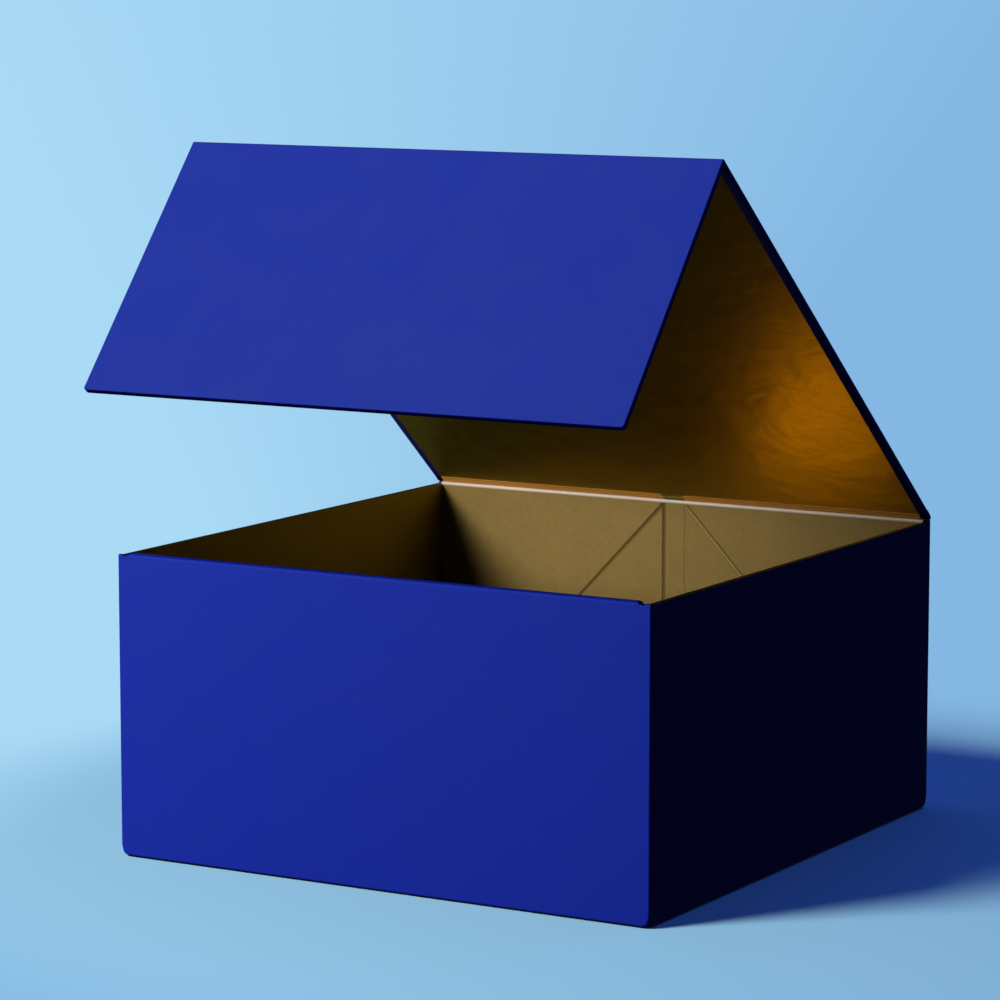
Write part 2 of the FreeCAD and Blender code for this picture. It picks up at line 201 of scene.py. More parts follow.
class Wire:
    # A socket in a node tree; arithmetic on wires adds Math nodes.
    def __init__(self, bench, socket):
        self.bench = bench
        self.socket = socket

    def maths(self, operation, first, second):
        return self.bench.add("ShaderNodeMath", {"operation": operation}, {0: first, 1: second})

    def __add__(self, other):
        return self.maths("ADD", self, other)

    __radd__ = __add__

    def __sub__(self, other):
        return self.maths("SUBTRACT", self, other)

    def __rsub__(self, other):
        return self.maths("SUBTRACT", other, self)

    def __mul__(self, other):
        return self.maths("MULTIPLY", self, other)

    __rmul__ = __mul__

    def __truediv__(self, other):
        return self.maths("DIVIDE", self, other)

    def __rtruediv__(self, other):
        return self.maths("DIVIDE", other, self)

    def clamp(self):
        return self.bench.add("ShaderNodeClamp", {}, {"Value": self, "Min": 0.0, "Max": 1.0})


class Bench:
    # Builds one material.
    def __init__(self, name):
        self.material = bpy.data.materials.new(name)
        self.material.use_nodes = True
        self.tree = self.material.node_tree
        self.tree.nodes.clear()

    def add(self, kind, settings, sockets, outlet=0):
        # One node: its settings first, then its sockets' values or links.
        node = self.tree.nodes.new(kind)
        for name, value in settings.items():
            setattr(node, name, value)
        for name, value in sockets.items():
            socket = node.inputs[name]
            if isinstance(value, Wire):
                self.tree.links.new(value.socket, socket)
            else:
                socket.default_value = value
        return Wire(self, node.outputs[outlet]) if node.outputs else None

    def place(self, scale=(1, 1, 1)):
        # Object coordinates in metres, stretched where the scale is under 1.
        spot = self.add("ShaderNodeTexCoord", {}, {}, "Object")
        return self.add("ShaderNodeMapping", {"vector_type": "POINT"}, {"Vector": spot, "Scale": scale})

    def noise(self, vector, scale, detail=3.0, roughness=0.55, distortion=0.0):
        return self.add("ShaderNodeTexNoise", {}, {
            "Vector": vector, "Scale": scale, "Detail": detail,
            "Roughness": roughness, "Distortion": distortion})

    def band(self, value, low, high):
        # 0 below low, 1 above high, straight between.
        return self.add("ShaderNodeMapRange", {"clamp": True}, {
            "Value": value, "From Min": low, "From Max": high, "To Min": 0.0, "To Max": 1.0})

    def blend(self, factor, first, second):
        # Of a Mix node's sockets, 6 and 7 are the colours going in and 2 the one coming out.
        return self.add("ShaderNodeMix", {"data_type": "RGBA", "blend_type": "MIX", "clamp_factor": True},
                        {0: factor, 6: first, 7: second}, 2)

    def finish(self, colour, rough, bumps, metal=0.0, specular=0.5, extra=None):
        # bumps is a list of (height, strength, distance), coarse first.
        normal = None
        for height, strength, distance in bumps:
            sockets = {"Height": height, "Strength": strength, "Distance": distance}
            if normal:
                sockets["Normal"] = normal
            normal = self.add("ShaderNodeBump", {}, sockets)
        sockets = {"Base Color": colour, "Roughness": rough, "Metallic": metal,
                   "Specular IOR Level": specular}
        if normal:
            sockets["Normal"] = normal
        sockets.update(extra or {})
        shader = self.add("ShaderNodeBsdfPrincipled", {}, sockets)
        self.add("ShaderNodeOutputMaterial", {}, {"Surface": shader})
        return self.material


cobalt = {
    "deep": (0.0012, 0.0068, 0.205, 1), "mid": (0.0016, 0.0088, 0.240, 1), "worn": (0.008, 0.026, 0.30, 1),
    "roughness": 0.64, "specular": 0.11, "sheen": (0.50, 0.90, 1.0, 1),
    "mottleScale": 34.0, "fibreScale": 950.0, "strandScale": 760.0, "grainScale": 4200.0}


def makeCobalt():
    # Dyed uncoated cover paper: faint cloudiness, short fibres, fine tooth.
    bench = Bench("cobalt_cover_paper")
    flat = bench.place()
    cloud = bench.noise(flat, cobalt["mottleScale"], 3.0, 0.6)
    fibre = bench.noise(bench.place(scale=(1.0, 0.22, 0.22)), cobalt["fibreScale"], 3.0, 0.6, 0.8)
    strand = bench.noise(bench.place(scale=(0.2, 1.0, 1.0)), cobalt["strandScale"], 2.0, 0.5, 0.6)
    grain = bench.noise(flat, cobalt["grainScale"], 2.0, 0.5)
    tone = (cloud * 0.55 + fibre * 0.25 + strand * 0.20 - 0.18) * 1.55
    colour = bench.blend(tone.clamp(), cobalt["deep"], cobalt["mid"])
    fleck = bench.band(fibre * strand, 0.40, 0.55) * 0.25
    colour = bench.blend(fleck, colour, cobalt["worn"])
    rough = cobalt["roughness"] + (grain - 0.5) * 0.12 + (cloud - 0.5) * 0.10
    bumps = [(cloud, 0.10, 0.25 * mm), (fibre * 0.6 + strand * 0.4, 0.22, 0.05 * mm), (grain, 0.16, 0.02 * mm)]
    return bench.finish(colour, rough, bumps, specular=cobalt["specular"],
                        extra={"Specular Tint": cobalt["sheen"]})


gold = {
    "lining_paper": {
        "dark": (0.27, 0.210, 0.006, 1), "mid": (0.34, 0.265, 0.009, 1), "pale": (0.45, 0.36, 0.03, 1),
        "metal": 0.80, "roughness": 0.42, "specular": 0.12, "cockle": 0.10},
    "lid_paper": {
        "dark": (0.36, 0.265, 0.003, 1), "mid": (0.43, 0.320, 0.004, 1), "pale": (0.52, 0.40, 0.012, 1),
        "metal": 0.92, "roughness": 0.36, "specular": 0.08, "cockle": 0.30},
    "gusset_paper": {
        "dark": (0.22, 0.144, 0.036, 1), "mid": (0.29, 0.190, 0.048, 1), "pale": (0.38, 0.26, 0.09, 1),
        "metal": 0.30, "roughness": 0.48, "specular": 0.25, "cockle": 0.06},
    # Bright orange copy of the gold paper for the hinge strips: gold paper with a painted reflection of lit
    # gold in its colour.
    "strip_painted_reflection_paper": {
        "dark": (0.70, 0.31, 0.032, 1), "mid": (0.82, 0.37, 0.042, 1), "pale": (0.90, 0.46, 0.08, 1),
        "metal": 0.35, "roughness": 0.45, "specular": 0.3, "cockle": 0.03},
    # Pale cream copy of the gold paper for the back fold: a painted highlight along the top edge of the back
    # wall.
    "fold_painted_highlight_paper": {
        "dark": (0.80, 0.66, 0.50, 1), "mid": (0.92, 0.79, 0.64, 1), "pale": (0.98, 0.90, 0.80, 1),
        "metal": 0.10, "roughness": 0.42, "specular": 0.4, "cockle": 0.03}}
goldScale = {"wave": 42.0, "ripple": 300.0, "pebble": 520.0, "laid": 1500.0, "grain": 3800.0}


def makeGold(name):
    # Satin metallic lining paper: fine laid grain over slow waves in the sheet.
    look = gold[name]
    bench = Bench("gold_" + name)
    flat = bench.place()
    wave = bench.noise(flat, goldScale["wave"], 2.0, 0.5, 0.4)
    pebble = bench.noise(flat, goldScale["pebble"], 3.0, 0.6)
    laid = bench.noise(bench.place(scale=(0.12, 1.0, 1.0)), goldScale["laid"], 2.0, 0.5, 0.3)
    grain = bench.noise(flat, goldScale["grain"], 2.0, 0.5)
    ripple = bench.noise(bench.place(scale=(0.4, 1.0, 1.0)), goldScale["ripple"], 2.0, 0.5, 0.8)
    tone = (wave * 0.35 + pebble * 0.35 + laid * 0.30 - 0.2) * 1.6
    colour = bench.blend(tone.clamp(), look["dark"], look["mid"])
    sparkle = bench.band(grain * pebble, 0.30, 0.48) * 0.35
    colour = bench.blend(sparkle, colour, look["pale"])
    rough = look["roughness"] + (pebble - 0.5) * 0.16 + (laid - 0.5) * 0.08
    bumps = [(wave, look["cockle"], 2.0 * mm), (ripple, look["cockle"], 0.2 * mm),
             (pebble, 0.30, 0.12 * mm), (laid * 0.5 + grain * 0.5, 0.25, 0.03 * mm)]
    return bench.finish(colour, rough, bumps, metal=look["metal"], specular=look["specular"])


pulpLook = {
    "dark": (0.20, 0.185, 0.165, 1), "pale": (0.36, 0.335, 0.30, 1), "speck": (0.09, 0.08, 0.075, 1),
    "roughness": 0.86, "specular": 0.2, "pulpScale": 300.0, "layerScale": 2400.0, "speckScale": 2600.0}


def makeGreyboard():
    # Raw recycled board: grey pulp with dark specks, in thin layers.
    bench = Bench("greyboard_pulp")
    flat = bench.place()
    pulp = bench.noise(flat, pulpLook["pulpScale"], 4.0, 0.65)
    speck = bench.noise(flat, pulpLook["speckScale"], 2.0, 0.5)
    layers = bench.noise(bench.place(scale=(0.05, 0.05, 1.0)), pulpLook["layerScale"], 2.0, 0.5)
    colour = bench.blend(pulp, pulpLook["dark"], pulpLook["pale"])
    colour = bench.blend(bench.band(speck, 0.60, 0.72) * 0.5, colour, pulpLook["speck"])
    rough = pulpLook["roughness"] + (pulp - 0.5) * 0.1
    bumps = [(pulp, 0.4, 0.15 * mm), (layers * 0.5 + speck * 0.5, 0.3, 0.05 * mm)]
    return bench.finish(colour, rough, bumps, specular=pulpLook["specular"])


def makeDisc(name, colour, roughness):
    # Metal disc with a fine brushed face and faint stains.
    bench = Bench(name)
    brushed = bench.noise(bench.place(scale=(1.0, 1.0, 0.04)), 4000.0, 2.0, 0.5)
    stain = bench.noise(bench.place(), 260.0, 3.0, 0.6)
    tint = bench.blend(stain, colour, tuple(0.8 * part for part in colour[:3]) + (1,))
    return bench.finish(tint, roughness + (brushed - 0.5) * 0.2, [(brushed, 0.2, 0.02 * mm)], metal=1.0)


coverPaper = makeCobalt()
liningPaper = makeGold("lining_paper")
lidPaper = makeGold("lid_paper")
gussetPaper = makeGold("gusset_paper")
foldPaintedHighlight = makeGold("fold_painted_highlight_paper")
stripPaintedReflection = makeGold("strip_painted_reflection_paper")
greyboard = makeGreyboard()
steel = makeDisc("steel_plate", (0.45, 0.46, 0.48, 1), 0.38)
nickel = makeDisc("nickel_magnet", (0.62, 0.60, 0.56, 1), 0.22)


def dress(piece, material):
    piece.data.materials.clear()
    piece.data.materials.append(material)


for name, piece in nodes.items():
    if name.endswith("_cover") or name == "lid_hinge_cloth":
        dress(piece, coverPaper)
    elif "plate" in name:
        dress(piece, steel)
    elif "magnet" in name:
        dress(piece, nickel)
    elif name.endswith("_board") or name.startswith("gusset") and not name.endswith("_facing"):
        dress(piece, greyboard)
    else:
        dress(piece, liningPaper)
for name in ("lid_lining", "flap_lining"):
    dress(nodes[name], lidPaper)
print("materials made")


trayWrap = {
    "paper": 0.2 * mm, "sideWall": 2.2 * mm, "cornerRadius": 0.65 * mm, "bottomRadius": 3.6 * mm,
    "pullRise": 9.0 * mm, "pullSteps": 6, "cornerSteps": 6, "rimRound": 0.55 * mm, "rimSteps": 3,
    "lipInset": 5.0 * mm, "lipSlope": 0.8 * mm, "rollRadius": 1.3 * mm, "rollSteps": 5, "turnover": 3.4 * mm,
    "footRound": 0.5 * mm, "footSteps": 4, "cornerBump": 0.45 * mm, "cornerWidth": 2.6 * mm}


def makeTrayWrap():
    # The blue paper round the four walls, as one folded sheet with rounded lower corners.
    plan = trayWrap
    frontLow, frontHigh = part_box("front_cover")
    backLow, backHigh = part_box("back_cover")
    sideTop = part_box("left_wall_cover")[1].z
    halfWidth, front, back = frontHigh.x, frontLow.y, backHigh.y
    foot, lipTop = frontLow.z, frontHigh.z
    rim = sideTop - plan["rimRound"]
    radius = plan["bottomRadius"]
    base = foot + plan["footRound"]
    wrap = startBlock("tray_wrap", (-halfWidth, front, base), (halfWidth, back, rim))

    # Upright corners: bevelled at the bottom's large radius, then drawn in to a crisp fold higher up.
    chooseParts("EDGE", lambda edge, at: runsAlong(edge, upBox))
    bpy.ops.mesh.bevel(offset=radius, segments=plan["cornerSteps"], affect="EDGES")
    levels = []
    for step in range(plan["pullSteps"]):
        angle = math.radians(90.0 * step / plan["pullSteps"])
        levels.append((base + plan["pullRise"] * (1 - math.sin(angle)), radius * (1 - math.cos(angle))))
    for height, _ in levels:
        cutAll((0, 0, height), upBox)
    levels.append((rim, 0.0))
    for signX in (-1, 1):
        for signY, edgeY in ((-1, front), (1, back)):
            for height, wanted in levels:
                share = max(wanted, plan["cornerRadius"]) / radius
                chooseParts("VERT", lambda vertex, at: (
                    abs(at.z - height) < hair and signX * at.x > halfWidth - radius - hair
                    and signY * at.y > abs(edgeY) - radius - hair))
                bpy.ops.transform.resize(value=(share, share, 1),
                                         center_override=(signX * halfWidth, edgeY, height))

    # Rolled lower edge, and the paper turned in under the walls.
    chooseParts("FACE", lambda face, at: face.normal.z < -squarely)
    roundRim(plan["footRound"], plan["footSteps"])
    bpy.ops.mesh.inset(thickness=plan["sideWall"] - plan["footRound"])
    bpy.ops.mesh.delete(type="FACE")

    # Top rim, thinner at the back.
    chooseParts("FACE", lambda face, at: face.normal.z > squarely)
    innerX = halfWidth - plan["sideWall"]
    innerFront = front + plan["sideWall"]
    innerBack = backLow.y
    pull((0, 0, 0))
    bpy.ops.transform.resize(value=(innerX / halfWidth, (innerBack - innerFront) / (back - front), 1),
                             center_override=(0, 0, rim))
    shift((0, (innerBack + innerFront) / 2 - (back + front) / 2, 0))
    lipSide = halfWidth - plan["lipInset"]
    lipBack = frontHigh.y
    for side in (-lipSide, lipSide):
        cutAll((side, 0, 0), acrossBox)
    chooseParts("FACE", lambda face, at: face.normal.z > squarely)
    cutAt((0, lipBack, 0), alongBox)
    cutAll((0, innerBack, 0), alongBox)

    # Lip along the front, with its paper turned over the inner board.
    def isLip(face, at):
        return face.normal.z > squarely and abs(at.x) < lipSide and at.y < lipBack
    chooseParts("FACE", isLip)
    pull((0, 0, lipTop - rim))
    for side in (-1, 1):
        chooseParts("VERT", lambda vertex, at: at.z > lipTop - hair and side * at.x > lipSide - hair)
        shift((-side * plan["lipSlope"], 0, 0))
    chooseParts("EDGE", lambda edge, at: at.z > lipTop - hair and isFold(edge, 20))
    bpy.ops.mesh.bevel(offset=plan["rollRadius"], segments=plan["rollSteps"], affect="EDGES")

    # Folded paper standing up a little at the two front corners.
    cornerSide = halfWidth - plan["cornerWidth"]
    for cut in (-cornerSide, cornerSide):
        chooseParts("FACE", lambda face, at: (
            face.normal.z > squarely and abs(at.z - rim) < hair and at.y < innerFront))
        cutAt((cut, 0, 0), acrossBox)
    chooseParts("FACE", lambda face, at: (
        face.normal.z > squarely and abs(at.z - rim) < hair and abs(at.x) > innerX))
    cutAt((0, innerFront, 0), alongBox)
    for side in (-1, 1):
        chooseParts("FACE", lambda face, at: (
            face.normal.z > squarely and abs(at.z - rim) < hair
            and side * at.x > cornerSide and at.y < innerFront))
        pull((0, 0, plan["cornerBump"]))
        roundRim(plan["rimRound"], plan["rimSteps"], even=False)

    # Back wall, standing a little higher than the sides.
    chooseParts("FACE", lambda face, at: face.normal.z > squarely and at.y > innerBack and at.z < rim + hair)
    pull((0, 0, backHigh.z - rim - plan["rimRound"]))
    roundRim(plan["rimRound"], plan["rimSteps"])

    # Side rims and front shoulders.
    chooseParts("FACE", lambda face, at: (
        face.normal.z > squarely and abs(at.z - rim) < hair and abs(at.x) < innerX and at.y > innerFront))
    bpy.ops.mesh.delete(type="FACE")
    chooseParts("FACE", lambda face, at: face.normal.z > squarely and abs(at.z - rim) < hair)
    roundRim(plan["rimRound"], plan["rimSteps"])

    # Skirt of the turned-over lip.
    chooseParts("EDGE", lambda edge, at: (
        len(edge.link_faces) == 1 and abs(at.z - rim) < hair and at.y > innerFront - hair
        and at.y < lipBack + hair and abs(at.x) < lipSide + hair))
    pull((0, 0, lipTop - plan["turnover"] - rim))
    return finishBlock(wrap, plan["paper"], even=False)


corePlan = {
    "taper": 0.4 * mm, "ease": 1.1 * mm, "easeSteps": 4,
    "footEase": 4.9 * mm, "footSteps": 8, "footReach": 1 * mm}


def makeInnerCore():
    # The board turned down inside the front wall, eased under the roll of paper.
    low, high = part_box("front_inner_board")
    core = startBlock("front_inner_board_core", low, high)
    for end in (-1, 1):
        chooseParts("VERT", lambda vertex, at: at.z > high.z - hair and end * at.x > 0)
        shift((-end * (trayWrap["lipSlope"] + corePlan["taper"]), 0, 0))
    chooseParts("EDGE", lambda edge, at: at.z > high.z - hair and (
        at.y > high.y - hair or runsAlong(edge, alongBox)))
    bpy.ops.mesh.bevel(offset=corePlan["ease"], segments=corePlan["easeSteps"], affect="EDGES")
    return finishBlock(core)


def makeFrontCore():
    # The front wall's board, eased under the roll of paper and at its lower corners.
    low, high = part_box("front_board")
    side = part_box("front_inner_board")[1].x
    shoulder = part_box("left_wall_board")[1].z
    core = startBlock("front_board_core", low, (high.x, high.y, shoulder))
    for cut in (-side, side):
        cutAll((cut, 0, 0), acrossBox)
    chooseParts("EDGE", lambda edge, at: (
        runsAlong(edge, alongBox) and at.z < low.z + hair and abs(at.x) > side + corePlan["footReach"]))
    bpy.ops.mesh.bevel(offset=corePlan["footEase"], segments=corePlan["footSteps"], affect="EDGES")
    chooseParts("FACE", lambda face, at: face.normal.z > squarely and abs(at.x) < side)
    pull((0, 0, high.z - shoulder))
    for end in (-1, 1):
        chooseParts("VERT", lambda vertex, at: at.z > high.z - hair and end * at.x > side - hair)
        shift((-end * (trayWrap["lipSlope"] + corePlan["taper"]), 0, 0))
    chooseParts("EDGE", lambda edge, at: (
        at.z > high.z - hair and (at.y < low.y + hair or runsAlong(edge, alongBox))))
    bpy.ops.mesh.bevel(offset=corePlan["ease"], segments=corePlan["easeSteps"], affect="EDGES")
    return finishBlock(core)


sideLining = {"paper": 0.15 * mm, "turnOut": 1.75 * mm, "round": 0.12 * mm, "roundSteps": 3}


def makeSideLining(side, sign):
    # Gold lining of a side wall, with its upper edge turned out over the rim.
    low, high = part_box(f"{side}_wall_lining")
    top = high.z
    lining = startBlock(f"{side}_wall_lining_sheet", low, (high.x, high.y, top + sideLining["paper"]))
    cutAll((0, 0, top), upBox)
    chooseParts("FACE", lambda face, at: face.normal.x * sign > squarely and at.z > top)
    pull((sign * sideLining["turnOut"], 0, 0))
    chooseParts("EDGE", lambda edge, at: runsAlong(edge, alongBox) and at.z > top + hair)
    bpy.ops.mesh.bevel(offset=sideLining["round"], segments=sideLining["roundSteps"], affect="EDGES")
    return finishBlock(lining)


sideLinings = []
for side, sign in (("left", -1), ("right", 1)):
    lining = makeSideLining(side, sign)
    dress(lining, liningPaper)
    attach(lining, "tray")
    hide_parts(f"{side}_wall_lining")
    sideLinings.append(lining)

for core, node in ((makeFrontCore(), "front_board"), (makeInnerCore(), "front_inner_board")):
    dress(core, greyboard)
    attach(core, "tray")
    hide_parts(node)
wrap = makeTrayWrap()
dress(wrap, coverPaper)
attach(wrap, "tray")
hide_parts("front_cover", "left_wall_cover", "right_wall_cover", "back_cover")
print("tray wrap made")


gussetPlan = {
    "paper": 0.2 * mm, "stripWidth": 10.8 * mm, "leftCrease": 1.9 * mm, "rightCrease": 1.2 * mm,
    "diagonalCrease": 1.9 * mm, "depth": 0.78 * mm, "rightRise": 0.14 * mm, "softness": 0.35,
    "shoulder": 0.45, "smoothAngle": 8.0}


def creaseLine(place, across, width, region, depth):
    # Presses a crease into the sheet: five cuts, the middle one moved back and its neighbours partly.
    soft = 0.5 - gussetPlan["softness"] / 2
    for offset in (-0.5, -soft, 0.0, soft, 0.5):
        chooseParts("FACE", region)
        cutAt(place + across * width * offset, across)
    for offset, share in ((-soft, gussetPlan["shoulder"]), (0.0, 1.0), (soft, gussetPlan["shoulder"])):
        line = place + across * width * offset
        chooseParts("VERT", lambda vertex, at: (
            abs((Vector((at.x, line.y, at.z)) - line).dot(across)) < hair and region(vertex, at)))
        shift((0, depth * share, 0))


def makeGussetSheet():
    # One gold sheet glued over the five cards, pressed into the gaps between them.
    plan = gussetPlan
    low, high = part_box("gusset_centre_facing")
    side = -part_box("gusset_upper_left_facing")[0].x
    face = low.y
    startFresh()
    bpy.ops.mesh.primitive_plane_add(size=1, location=(0, face, (low.z + high.z) / 2),
                                     rotation=(math.pi / 2, 0, 0))
    sheet = bpy.context.object
    sheet.name = sheet.data.name = "gusset_sheet"
    sheet.scale = (2 * side, high.z - low.z, 1)
    bpy.ops.object.transform_apply(location=True, rotation=True, scale=True)
    bpy.ops.object.mode_set(mode="EDIT")
    strip = plan["stripWidth"] / 2
    run, climb = side - strip, high.z - low.z
    lean = Vector((climb, 0, run)).normalized()

    def anywhere(part, at):
        return True
    creaseLine(Vector((-strip, face, 0)), acrossBox, plan["leftCrease"], anywhere, plan["depth"])
    creaseLine(Vector((strip, face, 0)), acrossBox, plan["rightCrease"], anywhere, -plan["rightRise"])
    reach = strip + plan["leftCrease"] / 2 - hair
    for sign in (-1, 1):
        across = Vector((sign * lean.x, 0, lean.z))
        creaseLine(Vector((sign * strip, face, high.z)), across, plan["diagonalCrease"],
                   lambda part, at: sign * at.x > reach, plan["depth"])
    return finishBlock(sheet, plan["paper"], plan["smoothAngle"])


gussetSheet = makeGussetSheet()
dress(gussetSheet, gussetPaper)
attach(gussetSheet, "tray")
facings = [f"gusset_{card}_facing"
           for card in ("upper_left", "lower_left", "upper_right", "lower_right", "centre")]
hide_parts(*facings)

foldPlan = {"crestRadius": 0.75 * mm, "crestSteps": 6}


def makeBackFold():
    # Rounded fold of paper that caps the creased layer.
    low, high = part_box("back_top_fold")
    fold = startBlock("back_fold", low, high)
    chooseParts("EDGE", lambda edge, at: runsAlong(edge, acrossBox) and at.y < (low.y + high.y) / 2)
    bpy.ops.mesh.bevel(offset=foldPlan["crestRadius"], segments=foldPlan["crestSteps"], affect="EDGES")
    return finishBlock(fold)


backFold = makeBackFold()
# The back fold wears the pale cream copy of the gold paper, a painted highlight.
dress(backFold, foldPaintedHighlight)
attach(backFold, "tray")
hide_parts("back_top_fold")
print("back wall made")


hingeAt = Vector(joints["lid_hinge"]["pos_m"])
ridgeAt = Vector(joints["flap_hinge"]["pos_m"])
lidTurn = math.radians(-joints["lid_hinge"]["range_deg"][0])
lidRun = Vector((0, -math.cos(lidTurn), math.sin(lidTurn)))
lidRise = Vector((0, math.sin(lidTurn), math.cos(lidTurn)))

lidPlan = {
    "thickness": 2.6 * mm, "paper": 0.2 * mm, "hingeGap": 3.0 * mm, "turnIn": 3.4 * mm,
    "edgeRound": 0.4 * mm, "edgeSteps": 3, "ridgeRound": 0.9 * mm, "ridgeSteps": 6, "footRound": 1.5 * mm,
    "footSteps": 5, "bend": 1.5 * mm,
    "ridgeLoops": (0.8 * mm, 1.4 * mm, 2.0 * mm, 2.6 * mm, 3.2 * mm)}
lidLength = (ridgeAt - hingeAt).dot(lidRun)
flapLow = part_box("flap_cover")[0].z
flapDrop = (ridgeAt.z - flapLow - lidPlan["thickness"] * math.sin(lidTurn)) / math.cos(lidTurn)


def makeLidWrap():
    # The blue paper over the lid, round the ridge and down the flap, as one sheet.
    plan = lidPlan
    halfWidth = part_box("lid_cover")[1].x
    thick = plan["thickness"]
    tip = -lidLength
    wrap = startBlock("lid_wrap", (-halfWidth, tip, 0), (halfWidth, -plan["hingeGap"], thick))
    cutAll((0, tip + thick, 0), alongBox)
    chooseParts("FACE", lambda face, at: face.normal.z < -squarely and at.y < tip + thick)
    foot = thick - flapDrop
    pull((0, 0, foot))

    # Free corners of the flap, then every outer edge.
    chooseParts("EDGE", lambda edge, at: runsAlong(edge, alongBox) and at.z < foot + hair)
    bpy.ops.mesh.bevel(offset=plan["footRound"], segments=plan["footSteps"], affect="EDGES")
    chooseParts("EDGE", lambda edge, at: (
        runsAlong(edge, acrossBox) and at.z > thick - hair and at.y < tip + hair))
    bpy.ops.mesh.bevel(offset=plan["ridgeRound"], segments=plan["ridgeSteps"], affect="EDGES")

    def isOuter(edge, at):
        isInnerCorner = runsAlong(edge, acrossBox) and abs(at.z) < hair
        return at.y <= -plan["hingeGap"] - hair and isFold(edge, 60) and not isInnerCorner
    chooseParts("EDGE", isOuter)
    bpy.ops.mesh.bevel(offset=plan["edgeRound"], segments=plan["edgeSteps"], affect="EDGES")

    # Loops for the paper to bend on at the ridge.
    for reach in plan["ridgeLoops"]:
        cutAll((0, tip + thick + reach, 0), alongBox)
        cutAll((0, 0, -reach), upBox)

    # The window that the gold lining fills.
    inner = halfWidth - plan["turnIn"]

    def isInner(face, at):
        return (face.normal.z < -squarely and abs(at.z) < hair) or (
            face.normal.y > squarely and abs(at.y - tip - thick) < hair)
    for side in (-inner, inner):
        chooseParts("FACE", isInner)
        cutAt((side, 0, 0), acrossBox)
    chooseParts("FACE", isInner)
    cutAt((0, 0, foot + plan["turnIn"]), upBox)
    chooseParts("FACE", lambda face, at: (
        isInner(face, at) and abs(at.x) < inner and at.z > foot + plan["turnIn"]))
    bpy.ops.mesh.delete(type="FACE")
    chooseParts("FACE", lambda face, at: face.normal.y > squarely and at.y > -plan["hingeGap"] - hair)
    bpy.ops.mesh.delete(type="FACE")
    finishBlock(wrap, plan["paper"])
    placeBy(wrap, hingeAt, lidTurn)
    return wrap


lidWrap = makeLidWrap()
dress(lidWrap, coverPaper)
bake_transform(lidWrap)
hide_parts("lid_cover", "flap_cover")

ridgePlan = {"paper": 0.12 * mm, "reach": 2.4 * mm, "loops": 8}


def makeRidgeLining():
    # Gold paper round the inner corner of the ridge, joining the linings of lid and flap.
    plan = ridgePlan
    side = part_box("lid_lining")[1].x
    corner = lidPlan["thickness"] - lidLength
    lining = startBlock("ridge_lining", (-side, corner, -plan["paper"]), (side, corner + plan["reach"], 0))
    cutAll((0, corner + plan["paper"], 0), alongBox)
    chooseParts("FACE", lambda face, at: face.normal.z < -squarely and at.y < corner + plan["paper"])
    pull((0, 0, plan["paper"] - plan["reach"]))
    for step in range(1, plan["loops"]):
        away = plan["reach"] * step / plan["loops"]
        cutAll((0, corner + away, 0), alongBox)
        cutAll((0, 0, -away), upBox)
    finishBlock(lining)
    placeBy(lining, hingeAt, lidTurn)
    return lining


ridgeLining = makeRidgeLining()
dress(ridgeLining, lidPaper)
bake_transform(ridgeLining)
print("lid wrap made")


hingePlan = {
    "cornerRise": 1.1 * mm, "cornerRound": 0.9 * mm, "cornerSteps": 5, "loops": 6,
    "paper": 0.2 * mm, "lap": 0.3 * mm, "tuck": 0.3 * mm, "tuckRise": 0.5 * mm, "drawUp": 10 * mm,
    "ease": 0.12 * mm, "easeSteps": 2, "lead": 0.3 * mm}


def makeHingeCloth():
    # Blue paper that closes the gap between the back wall and the lid.
    plan = hingePlan
    low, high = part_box("lid_hinge_cloth")
    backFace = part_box("back_cover")[1].y
    seat = low.z
    innerFoot = hingeAt.y + plan["paper"]
    cloth = startBlock("hinge_cloth", (low.x, innerFoot, seat), (high.x, backFace, seat + plan["cornerRise"]))
    outerRear = hingeAt + lidRun * lidPlan["hingeGap"] + lidRise * lidPlan["thickness"]
    innerRear = hingeAt + lidRun * lidPlan["hingeGap"] + lidRise * plan["paper"]
    middle = (innerFoot + backFace) / 2
    corner = seat + plan["cornerRise"]
    moveLine(lambda vertex, at: at.z > seat + hair and at.y < middle,
             innerFoot - plan["tuck"], seat + plan["tuckRise"])

    # The sloping top is drawn up, and its two long edges set against the lid's back edge.
    chooseParts("FACE", lambda face, at: face.normal.z > 0.5)
    pull((0, 0, plan["drawUp"]))
    moveLine(lambda vertex, at: at.z > seat + plan["drawUp"] and at.y < middle, innerRear.y, innerRear.z)
    moveLine(lambda vertex, at: at.z > seat + plan["drawUp"] and at.y > middle, outerRear.y, outerRear.z)
    chooseParts("EDGE", lambda edge, at: (
        runsAlong(edge, acrossBox) and at.y > backFace - hair and at.z > corner - 0.1 * mm))
    bpy.ops.mesh.bevel(offset=plan["cornerRound"], segments=plan["cornerSteps"], affect="EDGES")
    for step in range(1, plan["loops"]):
        cutAll(hingeAt + lidRun * lidPlan["hingeGap"] * step / plan["loops"], lidRun)
    return finishBlock(cloth)


def makeHingeStrip(name, left, right, bottom, reach):
    # Gold paper over the inside of the joint: bottom is its lower face, reach its far edge on the lid.
    plan = hingePlan
    strip = startBlock(name, (left, -reach, bottom), (right, 0, bottom + plan["paper"]))
    for step in range(1, plan["loops"] + 1):
        cutAll((0, -lidPlan["hingeGap"] * step / (plan["loops"] + 0.5), 0), alongBox)
    chooseParts("EDGE", lambda edge, at: (
        runsAlong(edge, acrossBox) and at.z < bottom + hair and at.y < hair - reach))
    bpy.ops.mesh.bevel(offset=plan["ease"], segments=plan["easeSteps"], affect="EDGES")
    finishBlock(strip)
    placeBy(strip, hingeAt, lidTurn)
    return strip


